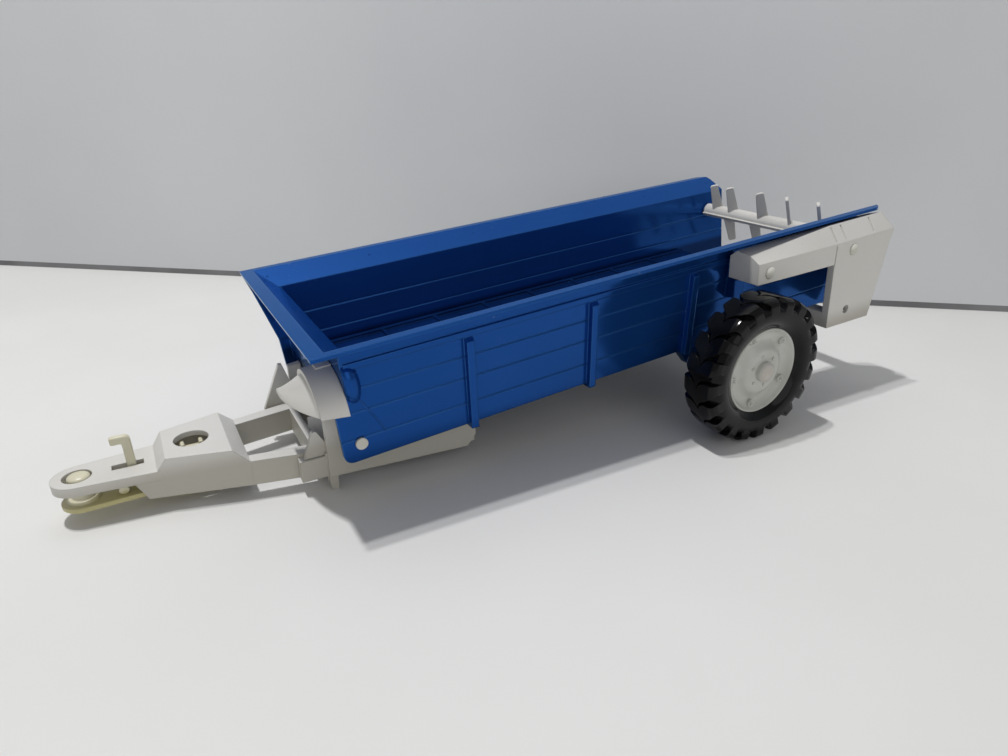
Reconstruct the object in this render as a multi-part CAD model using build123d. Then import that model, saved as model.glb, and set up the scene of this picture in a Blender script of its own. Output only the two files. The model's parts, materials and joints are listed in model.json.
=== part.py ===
from build123d import *
import math
import os

# A towed manure spreader, made as a die-cast and plastic toy: blue cast load box, grey
# plastic drawbar, corner shroud and side drive housing, cream plastic hitch latch and pins,
# a moulded beater across the open rear end and two vinyl-tyred wheels on one axle.
#
# Everything is modelled level about the axle: origin at the middle of the axle, +X towards
# the hitch, +Y to the left, +Z up, in millimetres.  At the end the whole toy is pitched
# nose-down until it stands on its two tyres and its two parking legs.

# ---------------------------------------------------------------- driving dimensions
RUN_GAP = 0.3                # gap between a moving piece and a fixed one
SHAFT_GAP = 0.06             # radial clearance of a shaft in its hole

# wheels and axle
TYRE_R = 27.0                # at the crown of the tread
SHOULDER = ((3.5, 0.1), (5.7, 0.3), (6.8, 1.2))   # out from the middle, down from the crown
BULGE_DROP = (3.2, 6.2)      # the sidewall is widest between these depths below the crown
TYRE_OUT_Y = 67.4            # outermost point of the outer sidewall
TYRE_WIDTH = 14.4
BEAD_R = 15.9                # where the sidewall meets the rim
BEAD_IN = 1.9                # how far the bead lies in from the sidewall's bulge
RIM_LIP = 1.5                # radial width of the hub's raised lip
HUB_FACE_Y = 65.5
HUB_DISH = 2.3               # how far the bolt ring is sunk behind the lip
HUB_BOSS_R = 3.7
HUB_BOSS_OUT = 2.6           # how far the boss stands out of the face
AXLE_R = 2.0

# beater's place and sweep
BEATER_X = -70.2
BEATER_Z = 29.3
PADDLE_TIP_R = 13.8

# load box casting
BOX_FRONT_X = 143.8          # front edge of the side flanges at their foot
BOX_REAR_X = -80.0
FRONT_WALL_X = BOX_FRONT_X - 3.1   # the front wall is set back between the flanges
FLOOR_REAR_X = BEATER_X + PADDLE_TIP_R + 4.2   # the floor stops ahead of the beater's sweep
WALL = 1.8
FLOOR_TOP_Z = 12.6
FLOOR_THICK = 1.8
BASE_HALF = 34.7             # half width over the skirts' lower edge, at axle height
CREASE_Z = 37.2              # where the walls turn outwards into the flare
CREASE_HALF = 38.0
RIM_Z = 42.4
RIM_HALF = 49.4
RIM_DEPTH = 1.1              # height of the rim's outer edge
RIM_FLAT = 3.0               # width of the rim's flat top
CREASE_RISE = 0.4            # how far the inner crease lies above the outer one
LIP_WIDTH = 4.4              # flat lip over the front wall
LIP_THICK = 1.2
LIP_LEAN_Z = 36.8            # height at which the front wall turns out to carry the lip
LIP_LEAN = 1.27              # how far it then goes out for each mm up
RIM_CORNER_R = 6.0           # rear corners of the rim, in plan
FRONT_RAKE = 6.6             # how far the front lip stands ahead of the wall's foot
FRONT_KNEE_Z = 18.0          # height at which the flanges start to lean out
SKIRT_CORNER_R = 3.0
RIB_X = (100.5, 53.5, 8.7)   # stakes on the side panels
RIB_WIDTH = 2.6
RIB_PROUD = 2.0
RIB_FOOT = 1.2               # how far each stake hangs below the skirt
BAND_Z = (CREASE_Z - 5.8, CREASE_Z - 3.2)   # moulding under the flare
BAND_PROUD = 0.7
AXLE_LOBE = 6.5              # depth of the skirt's lobe round the axle
AXLE_LOBE_HALF = 12.0
PLANK_Z = (8.0, 17.3, 25.0)  # plank joints on the outside of the side panels
PLANK_IN_Z = (18.1, 26.4)    # and on their inside
PLANK_WIDTH = 0.5
PLANK_DEPTH = 0.25
NOTCH_Z = 17.5               # the left flange is cut back above this height
BULGE_X = BOX_FRONT_X - 5.2  # tapered bead on the left panel, behind the shroud
BULGE_Z = (22.0, 31.0)
BULGE_R = (1.3, 2.6)
SLAT_PITCH = 22.5            # apron slats on the floor
SLAT_FRONT_X = FRONT_WALL_X - 12.8
SLAT_WIDTH = 1.6
SLAT_HEIGHT = 0.6
CHAIN_Y = (31.2, 33.2)       # apron chains along both sides of the floor
CHAIN_HEIGHT = 0.9
UNDER_RIB = (1.6, 3.5)       # thickness and depth of the cross ribs under the floor

# drawbar (grey moulding), drawn straight and then raised by its own small slope
BAR_RISE = 4.4               # degrees, nose-up against the box
BAR_REF = (BOX_FRONT_X + 54.5, -5.3)   # x and z of the lower front corner of its cheeks
CHEEK_HALF = 8.0             # half width over the cheeks at that corner
CHEEK_SPREAD = 0.27          # how much the half width grows per mm rearwards
BAR_DEPTH = 8.5
DECK_X = (BAR_REF[0] - 24.9, BAR_REF[0] - 6.6)
DECK_TOP = 13.1
DECK_SLOPE_X = DECK_X[0] - 4.5
JAW_TOP = 9.2
JAW_THICK = 3.0
JAW_HALF = 7.0
HITCH_X = BAR_REF[0] + 17.3
HITCH_HOLE_R = 4.0
SLOT_X = (BAR_REF[0] - 0.7, BAR_REF[0] + 8.1)
SLOT_WIDTH = 3.0
DECK_HOLE_X = BAR_REF[0] - 14.9
DECK_HOLE_R = 5.2
BAR_WALL = 1.8
ARM_WIDTH = (4.2, 7.2)       # at the deck and at the box
ARM_END_X = BOX_FRONT_X + 6.2
UNDER_REAR_X = BOX_FRONT_X - 46.8   # rear end of the part under the box
UNDER_HALF = (23.6, 28.0)    # half widths at the box front and at the rear end
LEG_X = (BOX_FRONT_X + 0.1, BOX_FRONT_X + 3.3)
LEG_DROP = 5.4               # below the drawbar's underside
GUSSET_TOP = (23.6, 16.3)    # apex height on the right arm, and on the left under the shroud
GUSSET_REACH = (13.5, 10.0)  # how far each gusset's foot reaches ahead of its leg
PLATE_TOP_Z = 12.6           # front top corner of the plates beside the box's front wall
PIN_X = BOX_FRONT_X - 5.7    # pin that joins drawbar and box
PIN_Z = 6.3
PIN_R = 1.6
PIN_HEAD_R = 1.9
PIN_BOSS_R = 3.4
PIN_HEAD_PROUD = 0.7

# hitch latch (cream moulding)
LATCH_THICK = 1.6
LATCH_HALF = 6.2
LATCH_TIP_X = HITCH_X + 5.8
LATCH_REAR_X = DECK_HOLE_X - 4.4
HITCH_PIN_R = 3.1
LEVER_WIDTH = 2.6
LEVER_RISE = 8.8
LEVER_REACH = 5.4

# corner shroud: an arch against the front wall and a smaller nose ahead of it
SHROUD_Y = 27.2
SHROUD_TOP = 30.4
SHROUD_HALF = 13.2           # half width over the arch's feet
SHROUD_FOOT = (18.8, 20.0)   # lower edge at the back, and from the arch's front on
SHROUD_X = (FRONT_WALL_X + 0.1, FRONT_WALL_X + 8.3)   # back edge and front of the arch
NOSE = ((0.0, 26.9, 11.8, 28.8), (3.8, 22.6, 8.3, 25.2), (6.6, 16.2, 3.0, 22.2))
                             # sections: x from the arch, middle y, half width, top
SHROUD_WALL = 1.2
TAB_X = 4.6                  # length of the tab on the arch's top
TAB_Y = (24.6, 28.4)
TAB_RISE = 0.5

# drive housing on the left side
HOUSE_Y = 54.2               # outer face
HOUSE_WALL = 1.6
BEAM_X = (-5.9, -47.2)       # front end and seam with the rear panel
BEAM_EDGE_Z = (34.95, 34.15)     # outer top edge at the front and at the seam
BEAM_LOW_Z = (27.4, 26.2)
BEAM_FRONT = ((49.9, 37.35), (43.8, 38.0), (40.7, 35.6))   # y and z of the front's top corners
HOUSE_UNDER = (0.85, 0.65, 0.8)  # clearance below the flare at the ridge, midway, at the wall
HOUSE_RIDGE_Y = RIM_HALF + 0.5
HOUSE_MID_Y = 44.5
PANEL_LOW = ((-47.8, 0.0), (-73.0, -0.95))   # lower corners of the panel
PANEL_REAR_X = (-80.7, -77.4)    # upper rear corner at the outer face and at the ridge
PANEL_FLANGE = 2.8           # width of the flange down the panel's front edge
SILL = (5.6, 6.0, 44.0)      # length, height and inner y of the step at the panel's front foot
HOUSE_GROOVE_X = (-52.6, -69.0)
HOUSE_GROOVE = (0.7, 0.35)   # width and depth of the two grooves on the slope
HOUSE_PINS = ((-11.7, 30.9), (-57.3, 30.2))   # x and z
HOUSE_PIN_R = 2.2            # head
HOUSE_SHANK_R = 1.5
HOUSE_BOSS_R = 3.1
HOUSE_BOSS_Y = 46.0
BRACKET_X = (-9.2, -14.0)
BRACKET_Z = (17.5, 25.0, 27.9, 33.6)   # foot, where it starts to widen, full width, top
BRACKET_Y = 40.8             # outer face of its lower part
HOUSE_HOLE = (-58.2, 5.6, 1.7)  # x, z and radius of the open lower hole

# beater's moulding
BEATER_REST = 17.0           # degrees the paddles lean forward as it stands
SHAFT_R = 3.0
FIN_HALF = 3.9               # half width of the moulding's flat fin
FIN_THICK = 0.8
STUB_R = 2.0
PADDLE_WIDTH = 4.8
PADDLE_TIP_WIDTH = 3.4
PADDLE_THICK = 1.3
PADDLE_TWIST = 42.0          # degrees; opposite on the two halves
PADDLES_UP = (-28.0, -18.2, -0.6, 14.0, 29.6)
PADDLES_DOWN = (-21.6, -6.0, 7.6, 21.6)

# ---------------------------------------------------------------- derived places
bar_slope = math.radians(BAR_RISE)
axle_half = HUB_FACE_Y + HUB_BOSS_OUT - 0.3


def wall_half(z):
    """Outer half width of the box wall at height z, below the crease."""
    return BASE_HALF + (CREASE_HALF - BASE_HALF) * z / CREASE_Z


def bar_half(x):
    """Outer half width of the drawbar's cheeks and arms at x."""
    return CHEEK_HALF + CHEEK_SPREAD * (BAR_REF[0] - x)


def solid_of(shape):
    """The one solid of a boolean result."""
    solids = shape.solids()
    if len(solids) != 1:
        raise ValueError(f"expected one solid, got {len(solids)}")
    return solids[0]


def prism_x(points, x0, x1):
    """Extrude a closed (y, z) outline from x0 to x1."""
    face = make_face(Polyline(*[(0, y, z) for y, z in points], close=True))
    low, high = min(x0, x1), max(x0, x1)
    return Pos(low, 0, 0) * extrude(face, amount=high - low, dir=(1, 0, 0))


def prism_y(points, y0, y1):
    """Extrude a closed (x, z) outline from y0 to y1."""
    face = make_face(Polyline(*[(x, 0, z) for x, z in points], close=True))
    low, high = min(y0, y1), max(y0, y1)
    return Pos(0, low, 0) * extrude(face, amount=high - low, dir=(0, 1, 0))


def prism_z(points, z0, z1):
    """Extrude a closed (x, y) outline from z0 to z1."""
    face = make_face(Polyline(*[(x, y, 0) for x, y in points], close=True))
    return Pos(0, 0, z0) * extrude(face, amount=z1 - z0, dir=(0, 0, 1))


def block(x0, x1, y0, y1, z0, z1):
    """A box between two corners."""
    size = (abs(x1 - x0), abs(y1 - y0), abs(z1 - z0))
    return Pos((x0 + x1) / 2, (y0 + y1) / 2, (z0 + z1) / 2) * Box(*size)


def rod_y(radius, y0, y1, x=0, z=0):
    """A round bar along Y."""
    return Pos(x, (y0 + y1) / 2, z) * Rot(90, 0, 0) * Cylinder(radius, abs(y1 - y0))


def rod_z(radius, z0, z1, x=0, y=0):
    """A round bar along Z."""
    return Pos(x, y, (z0 + z1) / 2) * Cylinder(radius, abs(z1 - z0))


def mirrored(shape):
    """The same shape on the other side of the centre plane."""
    return mirror(shape, Plane.XZ)


def revolve_y(points):
    """Revolve a closed (radius, y) outline about the Y axis."""
    face = make_face(Polyline(*[(r, y, 0) for r, y in points], close=True))
    return revolve(face, Axis.Y)


# ---------------------------------------------------------------- load box
def flare_under(y):
    """Height of the flare's underside at half width y."""
    run = (y - CREASE_HALF) / (RIM_HALF - CREASE_HALF)
    return CREASE_Z + run * (RIM_Z - RIM_DEPTH - CREASE_Z)


def box_section(inset, bottom, top):
    """Closed (y, z) outline of the box, flared at the top and moved in by inset."""
    flare_in = RIM_HALF - RIM_FLAT if inset else RIM_HALF
    rim_low = RIM_Z if inset else RIM_Z - RIM_DEPTH
    crease = CREASE_Z + (CREASE_RISE if inset else 0)
    half = [(wall_half(bottom) - inset, bottom),
            (CREASE_HALF - inset, crease),
            (flare_in, rim_low),
            (flare_in, top)]
    return half + [(-y, z) for y, z in reversed(half)]


def flange_outline():
    """Closed (x, z) side view of the whole box, with the leaning front edge of its flanges."""
    lip = BOX_FRONT_X + FRONT_RAKE
    return [(BOX_FRONT_X, 0), (BOX_FRONT_X + 0.5, FRONT_KNEE_Z), (lip - 0.2, RIM_Z - RIM_DEPTH),
            (lip, RIM_Z), (BOX_REAR_X, RIM_Z), (BOX_REAR_X, 0)]


def inner_outline():
    """Closed (x, z) side view of the load space ahead of the rear end."""
    lip = BOX_FRONT_X + FRONT_RAKE - LIP_WIDTH
    return [(FRONT_WALL_X - WALL, FLOOR_TOP_Z), (FRONT_WALL_X - WALL, LIP_LEAN_Z),
            (lip, RIM_Z), (lip, RIM_Z + 5), (BOX_REAR_X - 5, RIM_Z + 5),
            (BOX_REAR_X - 5, FLOOR_TOP_Z)]


def recess_outline(low):
    """Closed (x, z) side view of the room ahead of the front wall, from low up to the lip."""
    reach = BOX_FRONT_X + FRONT_RAKE + 5
    lip_z = RIM_Z - LIP_THICK
    turn = LIP_LEAN_Z - 0.1
    return [(FRONT_WALL_X, low), (FRONT_WALL_X, turn),
            (FRONT_WALL_X + (lip_z - turn) * LIP_LEAN, lip_z), (reach, lip_z), (reach, low)]


def make_load_box():
    """Cast box: floor, flared walls with skirts, recessed front wall, stakes and slats."""
    shell = prism_x(box_section(0, 0, RIM_Z), BOX_REAR_X, BOX_FRONT_X + FRONT_RAKE)
    shell &= prism_y(flange_outline(), -60, 60)
    rear_edges = [e for e in shell.edges().filter_by(Axis.Z)
                  if e.center().X < BOX_REAR_X + 1 and e.center().Z > RIM_Z - RIM_DEPTH]
    shell = fillet(rear_edges, RIM_CORNER_R)
    foot_edges = [e for e in shell.edges().filter_by(Axis.Y)
                  if e.center().Z < 0.1 and e.center().X > BOX_FRONT_X - 1]
    shell = fillet(foot_edges, SKIRT_CORNER_R)

    reach = BOX_FRONT_X + FRONT_RAKE + 5
    hollow = prism_x(box_section(WALL, FLOOR_TOP_Z, RIM_Z + 5), BOX_REAR_X - 5, reach)
    hollow &= prism_y(inner_outline(), -60, 60)
    recess = prism_x(box_section(WALL, -5, RIM_Z + 5), FRONT_WALL_X, reach)
    recess &= prism_y(recess_outline(-5), -60, 60)
    below = [(wall_half(-5) - WALL, -5), (wall_half(FLOOR_TOP_Z - FLOOR_THICK) - WALL,
                                          FLOOR_TOP_Z - FLOOR_THICK)]
    below = below + [(-y, z) for y, z in reversed(below)]
    under = prism_x(below, BOX_REAR_X - 5, reach)
    shell = shell - hollow - under - recess
    gap = [(wall_half(-5) - WALL, -5), (wall_half(FLOOR_TOP_Z + 1) - WALL, FLOOR_TOP_Z + 1)]
    gap = gap + [(-y, z) for y, z in reversed(gap)]
    shell -= prism_x(gap, BOX_REAR_X - 5, FLOOR_REAR_X)
    # the left flange makes room for the corner shroud
    shell -= prism_y(recess_outline(NOTCH_Z), BASE_HALF - WALL - 1, RIM_HALF + 1)
    for z in PLANK_Z:
        shell -= plank_line(z, wall_half(z) - PLANK_DEPTH, wall_half(z) + 1)
    for z in PLANK_IN_Z:
        shell -= plank_line(z, wall_half(z) - WALL - 1, wall_half(z) - WALL + PLANK_DEPTH)

    for side in (1, -1):
        for x in RIB_X:
            shell += stake(x, side)
        shell += moulding(side)
        shell += axle_lobe(side)
    thick, deep = UNDER_RIB
    for x in RIB_X:
        shell += block(x - thick / 2, x + thick / 2, -BASE_HALF + 1, BASE_HALF - 1,
                       FLOOR_TOP_Z - FLOOR_THICK - deep, FLOOR_TOP_Z - 1)

    sunk = FLOOR_TOP_Z - 0.4
    for side in (1, -1):
        shell += block(FLOOR_REAR_X + 1, FRONT_WALL_X - WALL + 0.5, side * CHAIN_Y[0],
                       side * CHAIN_Y[1], sunk, FLOOR_TOP_Z + CHAIN_HEIGHT)
    count = int((SLAT_FRONT_X - FLOOR_REAR_X - 3) // SLAT_PITCH) + 1
    for i in range(count):
        x = SLAT_FRONT_X - i * SLAT_PITCH
        shell += block(x - SLAT_WIDTH / 2, x + SLAT_WIDTH / 2, -CHAIN_Y[0], CHAIN_Y[0], sunk,
                       FLOOR_TOP_Z + SLAT_HEIGHT)

    low, high = BULGE_Z
    bead = Pos(BULGE_X, wall_half(high) - 0.6, (low + high) / 2) * Cone(*BULGE_R, high - low)
    shell += bead & block(BULGE_X - 5, FRONT_WALL_X, wall_half(low) - 1, RIM_HALF, low, high)

    # casting's bracket and boss for the drive housing's two pins
    rear_x, rear_z = HOUSE_PINS[1]
    foot, turn, shelf, top = BRACKET_Z
    shell += prism_x([(wall_half(foot) - 0.8, foot), (BRACKET_Y, foot + 1), (BRACKET_Y, turn),
                      (HOUSE_BOSS_Y, shelf), (HOUSE_BOSS_Y, top), (wall_half(top) - 0.8, top)],
                     *BRACKET_X)
    shell += rod_y(HOUSE_BOSS_R, wall_half(rear_z) - 0.8, HOUSE_BOSS_Y, rear_x, rear_z)
    for x, z in HOUSE_PINS:
        shell -= rod_y(HOUSE_SHANK_R + SHAFT_GAP, wall_half(z) + 0.4, HOUSE_Y, x, z)

    bore = rod_y(AXLE_R + SHAFT_GAP, -60, 60)
    pin_bore = rod_y(PIN_R + SHAFT_GAP, -60, 60, PIN_X, PIN_Z)
    stub_bore = rod_y(STUB_R + SHAFT_GAP, -60, 60, BEATER_X, BEATER_Z)
    return solid_of(shell - bore - pin_bore - stub_bore)


def plank_line(z, y0, y1):
    """Cutter for one joint between planks, on both side panels."""
    half = PLANK_WIDTH / 2
    cut = block(BOX_REAR_X - 1, BOX_FRONT_X + 1, y0, y1, z - half, z + half)
    return cut + mirrored(cut)


def stake(x, side):
    """One upright stake on a side panel, hanging a little below the skirt."""
    low, high = -RIB_FOOT, BAND_Z[0] + 0.5
    outline = [(wall_half(low) - WALL, low), (wall_half(low) + RIB_PROUD, low),
               (wall_half(high) + RIB_PROUD, high - 1.5), (wall_half(high) + 0.4, high),
               (wall_half(high) - 0.5, high)]
    body = prism_x([(side * y, z) for y, z in outline], x - RIB_WIDTH / 2, x + RIB_WIDTH / 2)
    return body


def moulding(side):
    """Raised band along a side panel just under the flare."""
    low, high = BAND_Z
    outline = [(wall_half(low) - 0.5, low), (wall_half(low) + BAND_PROUD, low + 0.3),
               (wall_half(high) + BAND_PROUD, high - 0.3), (wall_half(high) - 0.5, high)]
    return prism_x([(side * y, z) for y, z in outline], BOX_REAR_X, BOX_FRONT_X - 4)


def axle_lobe(side):
    """Downward lobe of the skirt that carries the axle."""
    outline = [(-AXLE_LOBE_HALF, 1), (-AXLE_LOBE_HALF * 0.55, -AXLE_LOBE),
               (AXLE_LOBE_HALF * 0.55, -AXLE_LOBE), (AXLE_LOBE_HALF, 1),
               (AXLE_LOBE_HALF, 3), (-AXLE_LOBE_HALF, 3)]
    return prism_y(outline, side * (BASE_HALF - WALL - 1.6), side * BASE_HALF)


# ---------------------------------------------------------------- drawbar
def raised(shape):
    """Put a drawbar piece, drawn with its underside at z = 0, at its slope and height."""
    return Pos(BAR_REF[0], 0, BAR_REF[1]) * Rot(0, -BAR_RISE, 0) * Pos(-BAR_REF[0], 0, 0) * shape


def lowered(x, z):
    """Where a point of the level frame lies in the drawbar's own frame."""
    dx, dz = x - BAR_REF[0], z - BAR_REF[1]
    c, s = math.cos(bar_slope), math.sin(bar_slope)
    return BAR_REF[0] + c * dx + s * dz, -s * dx + c * dz


def make_drawbar():
    """A-shaped drawbar: jaw plate, raised deck, two arms, and the part under the box."""
    # jaw plate with a round nose
    nose = rod_z(JAW_HALF, JAW_TOP - JAW_THICK, JAW_TOP, HITCH_X)
    plate = prism_z([(HITCH_X, -JAW_HALF), (HITCH_X, JAW_HALF),
                     (DECK_X[1] - 2, bar_half(DECK_X[1])),
                     (DECK_X[1] - 2, -bar_half(DECK_X[1]))], JAW_TOP - JAW_THICK, JAW_TOP)
    bar = nose + plate

    # deck shell: straight cheeks, sloped ends
    rise = JAW_TOP - JAW_THICK + 0.5
    side_view = [(BAR_REF[0], 0), (BAR_REF[0] + 3.4, rise), (DECK_X[1] + 2.8, JAW_TOP),
                 (DECK_X[1], DECK_TOP), (DECK_X[0], DECK_TOP), (DECK_SLOPE_X, BAR_DEPTH),
                 (DECK_SLOPE_X, 0)]
    head = prism_y(side_view, -30, 30)
    plan = [(BAR_REF[0] + 3.4, -bar_half(BAR_REF[0] + 3.4)),
            (BAR_REF[0] + 3.4, bar_half(BAR_REF[0] + 3.4)),
            (DECK_SLOPE_X, bar_half(DECK_SLOPE_X)),
            (DECK_SLOPE_X, -bar_half(DECK_SLOPE_X))]
    head &= prism_z(plan, -1, 20)
    open_x = BAR_REF[0] + 8
    inner = prism_y([(open_x, -1), (open_x, JAW_TOP - JAW_THICK),
                     (DECK_X[1] + 1, JAW_TOP - JAW_THICK), (DECK_X[1] - 1.6, DECK_TOP - BAR_WALL),
                     (DECK_X[0] + 1, DECK_TOP - BAR_WALL), (DECK_SLOPE_X + BAR_WALL, BAR_DEPTH),
                     (DECK_SLOPE_X + BAR_WALL, -1)], -30, 30)
    inner_plan = [(x, s * (bar_half(x) - BAR_WALL))
                  for x, s in ((open_x, -1), (open_x, 1), (DECK_SLOPE_X, 1), (DECK_SLOPE_X, -1))]
    inner &= prism_z(inner_plan, -1, 20)
    bar += head
    bar -= inner

    # arms from the deck to the box
    for side in (1, -1):
        bar += arm(side)
        bar += under_plate(side)
        bar += leg(side)
    bar += block(ARM_END_X - 2.4, ARM_END_X, -bar_half(ARM_END_X) + 1, bar_half(ARM_END_X) - 1,
                 0, BAR_DEPTH)
    bar += block(UNDER_REAR_X, UNDER_REAR_X + 2, -UNDER_HALF[1] + 1, UNDER_HALF[1] - 1, 1, 8)

    bar -= rod_z(HITCH_HOLE_R, 0, 20, HITCH_X)
    bar -= rod_z(DECK_HOLE_R, JAW_TOP, 20, DECK_HOLE_X)
    bar -= block(SLOT_X[0], SLOT_X[1], -SLOT_WIDTH / 2, SLOT_WIDTH / 2, JAW_TOP - 4, 20)
    bar = raised(bar)
    # bosses for the cross pin, square to the box
    for side in (1, -1):
        inner_y = UNDER_HALF[0] - 1
        outer_y = wall_half(PIN_Z - PIN_BOSS_R) - WALL - RUN_GAP
        bar += rod_y(PIN_BOSS_R, side * inner_y, side * outer_y, PIN_X, PIN_Z)
    bar -= rod_y(PIN_R + SHAFT_GAP, -60, 60, PIN_X, PIN_Z)
    return solid_of(bar)


def arm(side):
    """One arm of the A, as deep as the cheeks."""
    x0, x1 = DECK_SLOPE_X + 1, ARM_END_X - 6
    outline = [(x0, bar_half(x0)), (x1, bar_half(ARM_END_X) + 0.4),
               (x1, bar_half(x1) - ARM_WIDTH[1]), (x0, bar_half(x0) - ARM_WIDTH[0])]
    return prism_z([(x, side * y) for x, y in outline], 0, BAR_DEPTH)


def under_plate(side):
    """Side plate of the drawbar under the box, up to just below the floor."""
    front_x = ARM_END_X - 3
    y0, y1 = UNDER_HALF
    outline = [(front_x, y0), (UNDER_REAR_X, y1), (UNDER_REAR_X, y1 - 2.4), (front_x, y0 - 2.4)]
    plate = prism_z([(x, side * y) for x, y in outline], 0, 30)
    room = FLOOR_TOP_Z - FLOOR_THICK - RUN_GAP
    mid_top = lowered(PIN_X - 8, room)
    step_x = FRONT_WALL_X + RUN_GAP
    side_view = [(UNDER_REAR_X + 3, 0), (front_x, 0), lowered(front_x - 0.6, PLATE_TOP_Z),
                 lowered(step_x, PLATE_TOP_Z), lowered(step_x, room), mid_top,
                 (UNDER_REAR_X, 12), (UNDER_REAR_X, 4)]
    return plate & prism_y(side_view, -60, 60)


def leg(side):
    """Parking leg with its gusset, standing on the arm's outer face."""
    y0 = bar_half(LEG_X[1]) - 0.6
    i = 1 if side > 0 else 0
    gusset = [(LEG_X[0] + 0.6, BAR_DEPTH - 1), (LEG_X[0] + GUSSET_REACH[i], BAR_DEPTH - 1),
              (LEG_X[0] + 6.6, GUSSET_TOP[i]), (LEG_X[0] + 5.4, GUSSET_TOP[i])]
    foot = [(LEG_X[0], BAR_DEPTH), (LEG_X[0] + 0.5, -LEG_DROP), (LEG_X[1] - 0.3, -LEG_DROP),
            (LEG_X[1] + 0.6, BAR_DEPTH)]
    body = prism_y(gusset, side * (y0 - 1.2), side * (y0 + 0.6))
    body += prism_y(foot, side * (y0 - 2.0), side * (y0 + 1.6))
    body += block(LEG_X[0], LEG_X[1] + 8.4, side * (y0 - 2), side * (y0 + 1.4), 0, BAR_DEPTH - 1.2)
    return body


# ---------------------------------------------------------------- latch and pins
def make_hitch_latch():
    """Sprung lower jaw with the hitch pin, the release lever and two deck prongs."""
    gap = 0.35
    plate = prism_z([(LATCH_TIP_X - LATCH_HALF, -LATCH_HALF), (LATCH_TIP_X - LATCH_HALF, LATCH_HALF),
                     (LATCH_REAR_X, LATCH_HALF - 0.5), (LATCH_REAR_X, -LATCH_HALF + 0.5)],
                    0, LATCH_THICK)
    plate += rod_z(LATCH_HALF, 0, LATCH_THICK, LATCH_TIP_X - LATCH_HALF)
    body = plate + rod_z(HITCH_PIN_R, 0, JAW_TOP - 0.4, HITCH_X)
    dome = Pos(HITCH_X, 0, JAW_TOP - 0.4) * Sphere(HITCH_PIN_R)
    body += dome & block(HITCH_X - 5, HITCH_X + 5, -5, 5, JAW_TOP - 0.5, JAW_TOP + 1.2)
    body += rod_z(HITCH_PIN_R + 1.4, 0, LATCH_THICK + 1.0, HITCH_X)
    # release lever through the slot
    mid = (SLOT_X[0] + SLOT_X[1]) / 2 - 1.4
    half = LEVER_WIDTH / 2
    top = JAW_TOP + LEVER_RISE
    body += block(mid - half, mid + half, -half + gap, half - gap, 0, top)
    body += block(mid - half, mid + LEVER_REACH, -half + gap, half - gap, top - LEVER_WIDTH, top)
    body += Pos(mid + 3, 0, 3.2) * Rot(90, 0, 0) * Cylinder(1.5, 9)
    body += block(mid + 1.5, mid + 4.5, -1.2, 1.2, 0, 4)
    # rear tongue with two prongs up inside the deck hole
    body += block(LATCH_REAR_X, LATCH_REAR_X + 9, -1.6, 1.6, 0, LATCH_THICK)
    for dy in (-2.4, 2.4):
        body += block(DECK_HOLE_X - 1.2, DECK_HOLE_X + 1.4, dy - 0.8, dy + 0.8, 0,
                      DECK_TOP - 1.0)
    body += block(DECK_HOLE_X - 0.4, DECK_HOLE_X + 0.5, -2.4, 2.4, DECK_TOP - 4, DECK_TOP - 3)
    return solid_of(raised(body))


def make_drawbar_pin():
    """Pin across the skirts and the drawbar's bosses, with a domed head at each end."""
    reach = wall_half(PIN_Z + PIN_HEAD_R) + 0.03
    pin = rod_y(PIN_R, -reach, reach, PIN_X, PIN_Z)
    for side in (1, -1):
        pin += rod_y(PIN_HEAD_R, side * reach, side * (reach + PIN_HEAD_PROUD), PIN_X, PIN_Z)
    return solid_of(pin)


# ---------------------------------------------------------------- shroud
def hood(x, y, half, top, foot):
    """Arched face in the plane at x: middle y, half width over the feet, heights."""
    left, crown, right = (x, y - half, foot), (x, y, top), (x, y + half, foot)
    return make_face(ThreePointArc(left, crown, right) + Line(right, left))


def make_front_shroud():
    """Hooded guard on the front left corner with a tapering nose, open below and behind."""
    back, mid = SHROUD_X
    low, foot = SHROUD_FOOT
    w = SHROUD_WALL
    arch = extrude(hood(back, SHROUD_Y, SHROUD_HALF, SHROUD_TOP, low), amount=mid - back,
                   dir=(1, 0, 0))
    arch -= prism_y([(back, low), (mid, foot), (mid + 1, foot), (mid + 1, low - 2), (back, low - 2)],
                    0, RIM_HALF)
    nose = loft([hood(mid + x, y, half, top, foot) for x, y, half, top in NOSE])
    inner = extrude(hood(back - 1, SHROUD_Y, SHROUD_HALF - w, SHROUD_TOP - w, low - 1),
                    amount=mid - back + 1 - w, dir=(1, 0, 0))
    inner += loft([hood(mid + x - w - 0.1 * i, y, half - w, top - w, low - 1)
                   for i, (x, y, half, top) in enumerate(NOSE)], ruled=True)
    tab = block(back, back + TAB_X, *TAB_Y, SHROUD_TOP - w, SHROUD_TOP + TAB_RISE)
    return solid_of(arch + nose + tab - inner)


# ---------------------------------------------------------------- housing
def house_section(edge, ridge, middle, wall, x):
    """Closed face of the housing's sloped top at x, from its outer edge in to the box."""
    w = HOUSE_WALL
    face = HOUSE_Y
    points = [(face, edge - 2.4), (face, edge), ridge, middle, wall,
              (wall[0], wall[1] - w), (middle[0], middle[1] - w),
              (ridge[0] - 0.4 * w, ridge[1] - 1.15 * w), (face - w, edge - 0.5), (face - w, edge - 2.4)]
    return make_face(Polyline(*[(x, y, z) for y, z in points], close=True))


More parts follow.
